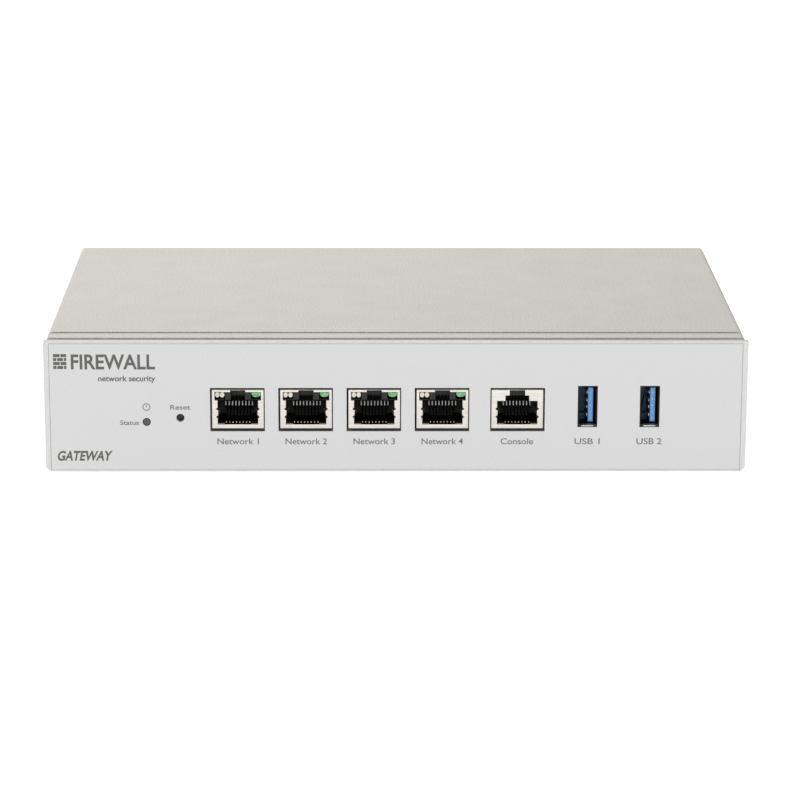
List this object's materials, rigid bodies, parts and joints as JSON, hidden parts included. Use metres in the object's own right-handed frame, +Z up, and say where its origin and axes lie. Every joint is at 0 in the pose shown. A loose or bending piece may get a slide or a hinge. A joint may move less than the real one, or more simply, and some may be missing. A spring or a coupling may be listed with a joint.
{
  "type": "firewall appliance",
  "caption": "Small desktop firewall appliance: folded steel case with a flat front panel of network, console and USB sockets, a status light and a reset button.",
  "frame": {"origin": "centre of the ground rectangle under the whole appliance, at the underside of the feet", "axes": "+X to the right seen from the front, +Y to the rear, +Z up; the front panel faces -Y"},
  "size_m": [0.2124, 0.132, 0.044],
  "materials": {
    "case_paint": "fine textured warm light grey powder coat on folded steel",
    "panel_paint": "smooth matt off-white paint",
    "face_sheet": "matt printed sheet, cool light grey",
    "nickel_plate": "bright nickel plate on stamped sheet",
    "socket_black": "moulded black",
    "clear_lens": "clear moulded light pipe over a diffuse backing",
    "green_lens": "pale green moulded light pipe",
    "usb_blue": "moulded bright blue",
    "smoked_lens": "smoked grey light pipe",
    "button_grey": "moulded dark grey",
    "switch_black": "moulded black",
    "board_green": "solder mask over glass laminate",
    "screw_zinc": "zinc plated",
    "standoff_brass": "turned",
    "sink_aluminium": "extruded, plain",
    "foot_rubber": "matt black"
  },
  "bodies": {
    "case": {"chassis_base": "case_paint", "top_cover": "case_paint", "front_panel": "panel_paint", "front_face_sheet": "face_sheet", "ethernet_1_shield": "nickel_plate", "ethernet_2_shield": "nickel_plate", "ethernet_3_shield": "nickel_plate", "ethernet_4_shield": "nickel_plate", "console_shield": "nickel_plate", "usb_1_shell": "nickel_plate", "usb_2_shell": "nickel_plate", "power_inlet_pin": "nickel_plate", "ethernet_1_housing": "socket_black", "ethernet_2_housing": "socket_black", "ethernet_3_housing": "socket_black", "ethernet_4_housing": "socket_black", "console_housing": "socket_black", "ethernet_1_link_lens": "clear_lens", "ethernet_2_link_lens": "clear_lens", "ethernet_3_link_lens": "clear_lens", "ethernet_4_link_lens": "clear_lens", "ethernet_1_activity_lens": "green_lens", "ethernet_2_activity_lens": "green_lens", "ethernet_3_activity_lens": "green_lens", "ethernet_4_activity_lens": "green_lens", "usb_1_insulator": "usb_blue", "usb_2_insulator": "usb_blue", "status_light_pipe": "smoked_lens", "power_switch_frame": "switch_black", "power_inlet_body": "switch_black", "reset_switch_body": "switch_black", "processor": "switch_black", "memory_socket": "switch_black", "storage_socket": "switch_black", "battery_holder": "switch_black", "main_board": "board_green", "memory_module": "board_green", "storage_module": "board_green", "cover_screw_front_left": "screw_zinc", "cover_screw_front_right": "screw_zinc", "cover_screw_rear_left": "screw_zinc", "cover_screw_rear_right": "screw_zinc", "board_screw_1": "screw_zinc", "board_screw_2": "screw_zinc", "board_screw_3": "screw_zinc", "board_screw_4": "screw_zinc", "heat_sink_screw_1": "screw_zinc", "heat_sink_screw_2": "screw_zinc", "coin_cell": "screw_zinc", "standoff_1": "standoff_brass", "standoff_2": "standoff_brass", "standoff_3": "standoff_brass", "standoff_4": "standoff_brass", "heat_sink": "sink_aluminium", "foot_front_left": "foot_rubber", "foot_front_right": "foot_rubber", "foot_rear_left": "foot_rubber", "foot_rear_right": "foot_rubber"},
    "reset_button": {"reset_button": "button_grey"},
    "power_rocker": {"power_rocker": "switch_black"}
  },
  "joints": [
    {"name": "reset_press", "type": "slide", "parent": "case", "child": "reset_button", "axis": [0, 1, 0], "range_m": [0, 0.0005], "stiffness_N_per_m": 400},
    {"name": "power_rock", "type": "hinge", "parent": "case", "child": "power_rocker", "pos_m": [-0.062, 0.0615, 0.024], "axis": [1, 0, 0], "range_deg": [0, 24]}
  ]
}
